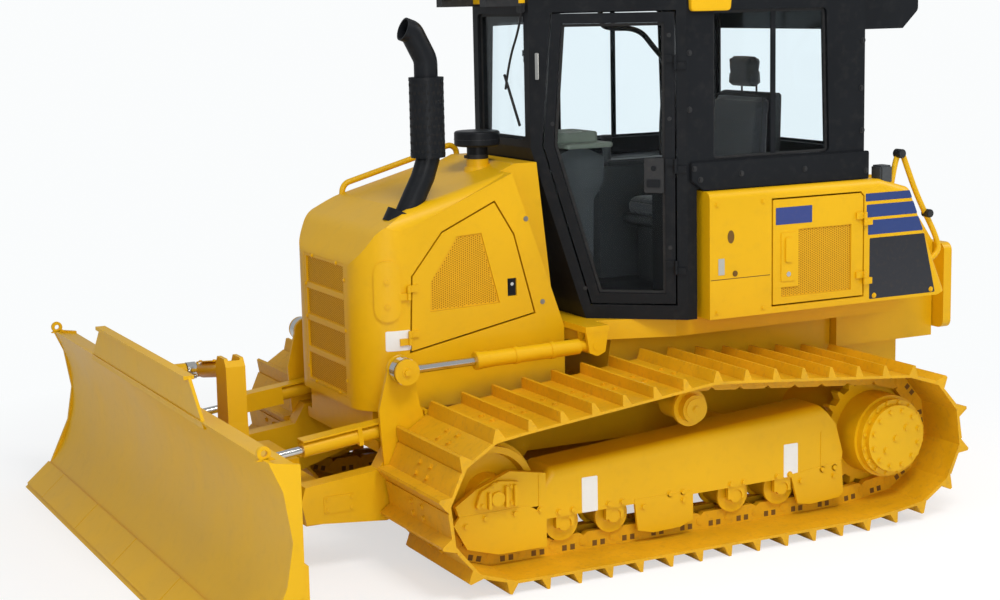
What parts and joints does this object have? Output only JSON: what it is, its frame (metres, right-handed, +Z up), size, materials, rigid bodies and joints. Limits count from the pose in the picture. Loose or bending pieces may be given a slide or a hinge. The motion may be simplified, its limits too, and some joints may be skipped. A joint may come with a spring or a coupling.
{
  "type": "crawler bulldozer",
  "caption": "Crawler bulldozer with a power-angle-tilt blade on a C-frame, a low hood, a six-sided glazed cab and side boxes over wide steel tracks.",
  "frame": {"origin": "on the ground under the middle of the machine's bounding box", "axes": "+X forward, towards the blade; +Y to the machine's left; +Z up"},
  "size_m": [4.19, 3.25, 2.785],
  "materials": {
    "track_steel": "worn",
    "yellow_paint": "gloss",
    "black_paint": "satin",
    "cast_block": "rough",
    "chrome_rod": "polished",
    "cab_pane": "clear",
    "seat_fabric": "woven",
    "console_plastic": "matt",
    "lamp_plastic": "gloss"
  },
  "bodies": {
    "machine": {"track_left": "track_steel", "track_right": "track_steel", "sprocket_left": "yellow_paint", "sprocket_right": "yellow_paint", "idler_left": "yellow_paint", "idler_right": "yellow_paint", "rollers_left": "yellow_paint", "rollers_right": "yellow_paint", "track_frame_left": "yellow_paint", "track_frame_right": "yellow_paint", "main_frame": "yellow_paint", "trunnion_left": "yellow_paint", "trunnion_right": "yellow_paint", "deck": "yellow_paint", "engine_block": "cast_block", "hood": "yellow_paint", "front_mask": "yellow_paint", "exhaust_stack": "black_paint", "precleaner": "black_paint", "handrail": "black_paint", "side_body_left": "yellow_paint", "side_body_right": "yellow_paint", "rear_housing": "yellow_paint", "cab_frame": "black_paint", "cab_roof": "black_paint", "cab_glass": "cab_pane", "seat": "seat_fabric", "consoles": "console_plastic", "work_lamps": "lamp_plastic"},
    "c_frame": {"c_frame": "yellow_paint"},
    "blade_yoke": {"blade_yoke": "yellow_paint"},
    "blade": {"blade": "yellow_paint"},
    "tilt_barrel": {"tilt_barrel": "yellow_paint"},
    "tilt_rod": {"tilt_rod": "chrome_rod"},
    "rear_grille": {"rear_grille": "black_paint"},
    "lift_barrel_left": {"lift_barrel_left": "yellow_paint"},
    "lift_rod_left": {"lift_rod_left": "chrome_rod"},
    "angle_swivel_left": {"angle_swivel_left": "yellow_paint"},
    "angle_barrel_left": {"angle_barrel_left": "yellow_paint"},
    "angle_rod_left": {"angle_rod_left": "chrome_rod"},
    "engine_door_left": {"engine_door_left": "yellow_paint"},
    "rear_door_left": {"rear_door_left": "yellow_paint"},
    "cab_door_left": {"cab_door_left": "black_paint", "door_glass_left": "cab_pane"},
    "lift_barrel_right": {"lift_barrel_right": "yellow_paint"},
    "lift_rod_right": {"lift_rod_right": "chrome_rod"},
    "angle_swivel_right": {"angle_swivel_right": "yellow_paint"},
    "angle_barrel_right": {"angle_barrel_right": "yellow_paint"},
    "angle_rod_right": {"angle_rod_right": "chrome_rod"},
    "engine_door_right": {"engine_door_right": "yellow_paint"},
    "rear_door_right": {"rear_door_right": "yellow_paint"},
    "cab_door_right": {"cab_door_right": "black_paint", "door_glass_right": "cab_pane"}
  },
  "joints": [
    {"name": "blade_lift", "type": "hinge", "parent": "machine", "child": "c_frame", "pos_m": [0.4, 0, 0.47], "axis": [0, 1, 0], "range_deg": [-28, 15]},
    {"name": "blade_angle", "type": "hinge", "parent": "c_frame", "child": "blade_yoke", "pos_m": [1.5, 0, 0.32], "axis": [0, 0, 1], "range_deg": [-25, 25]},
    {"name": "blade_tilt", "type": "hinge", "parent": "blade_yoke", "child": "blade", "pos_m": [1.7, 0, 0.32], "axis": [1, 0, 0], "range_deg": [-6.7, 6.7]},
    {"name": "tilt_barrel_pivot", "type": "hinge", "parent": "blade_yoke", "child": "tilt_barrel", "pos_m": [1.503, 0, 0.83], "axis": [1, 0, 0], "range_deg": [-6, 6]},
    {"name": "tilt_rod_slide", "type": "slide", "parent": "tilt_barrel", "child": "tilt_rod", "axis": [0, -0.9836, -0.1803], "range_m": [-0.06, 0.06]},
    {"name": "rear_grille_hinge", "type": "hinge", "parent": "machine", "child": "rear_grille", "pos_m": [-2.06, 0, 1.192], "axis": [0, 1, 0], "range_deg": [0, 90]},
    {"name": "lift_barrel_pivot_left", "type": "hinge", "parent": "machine", "child": "lift_barrel_left", "pos_m": [0, 0.605, 0.88], "axis": [0, 1, 0], "range_deg": [-16.5, 9]},
    {"name": "lift_rod_slide_left", "type": "slide", "parent": "lift_barrel_left", "child": "lift_rod_left", "axis": [0.9998, 0, -0.0215], "range_m": [-0.215, 0.115]},
    {"name": "angle_swivel_turn_left", "type": "hinge", "parent": "c_frame", "child": "angle_swivel_left", "pos_m": [0.87, 0.5, 0.604], "axis": [0, 0, 1], "range_deg": [-4.8, 4.8]},
    {"name": "angle_barrel_pivot_left", "type": "hinge", "parent": "angle_swivel_left", "child": "angle_barrel_left", "pos_m": [0.87, 0.5, 0.604], "axis": [0, 1, 0], "range_deg": [-4.3, 4.3]},
    {"name": "angle_rod_slide_left", "type": "slide", "parent": "angle_barrel_left", "child": "angle_rod_left", "axis": [0.9935, 0, -0.1141], "range_m": [-0.22, 0.22]},
    {"name": "cab_door_hinge_left", "type": "hinge", "parent": "machine", "child": "cab_door_left", "pos_m": [-0.37224, 0.71866, 1.7], "axis": [0, 0, 1], "range_deg": [0, 130]},
    {"name": "engine_door_hinge_left", "type": "hinge", "parent": "machine", "child": "engine_door_left", "pos_m": [0.832, 0.464, 1.07], "axis": [0, 0, -1], "range_deg": [0, 80]},
    {"name": "rear_door_hinge_left", "type": "hinge", "parent": "machine", "child": "rear_door_left", "pos_m": [-1.356, 0.814, 1.25], "axis": [0, 0, 1], "range_deg": [0, 100]},
    {"name": "lift_barrel_pivot_right", "type": "hinge", "parent": "machine", "child": "lift_barrel_right", "pos_m": [0, -0.605, 0.88], "axis": [0, 1, 0], "range_deg": [-16.5, 9]},
    {"name": "lift_rod_slide_right", "type": "slide", "parent": "lift_barrel_right", "child": "lift_rod_right", "axis": [0.9998, 0, -0.0215], "range_m": [-0.215, 0.115]},
    {"name": "angle_swivel_turn_right", "type": "hinge", "parent": "c_frame", "child": "angle_swivel_right", "pos_m": [0.87, -0.5, 0.604], "axis": [0, 0, 1], "range_deg": [-4.8, 4.8]},
    {"name": "angle_barrel_pivot_right", "type": "hinge", "parent": "angle_swivel_right", "child": "angle_barrel_right", "pos_m": [0.87, -0.5, 0.604], "axis": [0, 1, 0], "range_deg": [-4.3, 4.3]},
    {"name": "angle_rod_slide_right", "type": "slide", "parent": "angle_barrel_right", "child": "angle_rod_right", "axis": [0.9935, 0, -0.1141], "range_m": [-0.22, 0.22]},
    {"name": "cab_door_hinge_right", "type": "hinge", "parent": "machine", "child": "cab_door_right", "pos_m": [-0.37224, -0.71866, 1.7], "axis": [0, 0, -1], "range_deg": [0, 130]},
    {"name": "engine_door_hinge_right", "type": "hinge", "parent": "machine", "child": "engine_door_right", "pos_m": [0.832, -0.464, 1.07], "axis": [0, 0, 1], "range_deg": [0, 80]},
    {"name": "rear_door_hinge_right", "type": "hinge", "parent": "machine", "child": "rear_door_right", "pos_m": [-1.356, -0.814, 1.25], "axis": [0, 0, -1], "range_deg": [0, 100]}
  ],
  "couplings": [
    {"joint": "tilt_barrel_pivot", "follows": "blade_tilt", "ratio": 0.852},
    {"joint": "tilt_rod_slide", "follows": "blade_tilt", "m_per_rad": 0.501},
    {"joint": "lift_barrel_pivot_left", "follows": "blade_lift", "ratio": 0.57},
    {"joint": "lift_rod_slide_left", "follows": "blade_lift", "m_per_rad": 0.424},
    {"joint": "angle_swivel_turn_left", "follows": "blade_angle", "ratio": 0.185},
    {"joint": "angle_barrel_pivot_left", "follows": "blade_tilt", "ratio": -0.615},
    {"joint": "angle_rod_slide_left", "follows": "blade_angle", "m_per_rad": -0.49},
    {"joint": "lift_barrel_pivot_right", "follows": "blade_lift", "ratio": 0.57},
    {"joint": "lift_rod_slide_right", "follows": "blade_lift", "m_per_rad": 0.424},
    {"joint": "angle_swivel_turn_right", "follows": "blade_angle", "ratio": 0.185},
    {"joint": "angle_barrel_pivot_right", "follows": "blade_tilt", "ratio": 0.615},
    {"joint": "angle_rod_slide_right", "follows": "blade_angle", "m_per_rad": 0.49}
  ]
}
